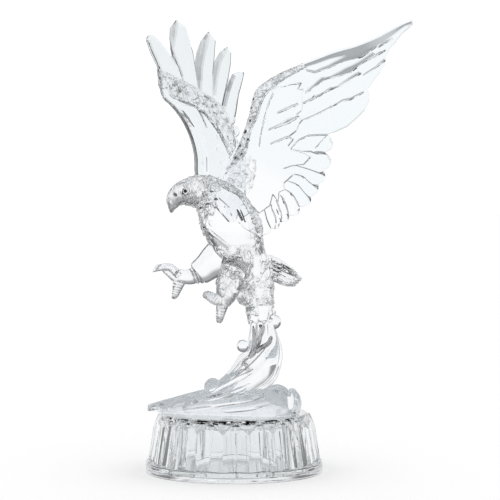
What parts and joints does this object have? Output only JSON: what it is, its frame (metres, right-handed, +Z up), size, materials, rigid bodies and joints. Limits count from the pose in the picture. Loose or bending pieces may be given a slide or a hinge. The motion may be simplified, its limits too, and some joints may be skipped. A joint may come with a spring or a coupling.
{
  "type": "eagle figurine",
  "caption": "Clear acrylic eagle landing with raised wings and open talons on a curling wave, on a hollow round prism-cut base.",
  "frame": {"origin": "middle of the base's flat underside", "axes": "+Z up; the eagle's head points along -X and its left wing is on the -Y side"},
  "size_m": [0.1727, 0.1318, 0.3028],
  "materials": {
    "clear_acrylic": "polished",
    "black_paint": "gloss"
  },
  "bodies": {
    "root": {"base_plate": "clear_acrylic", "base_shell": "clear_acrylic", "wave": "clear_acrylic", "eagle_body": "clear_acrylic", "wing_left": "clear_acrylic", "wing_right": "clear_acrylic"}
  },
  "joints": []
}
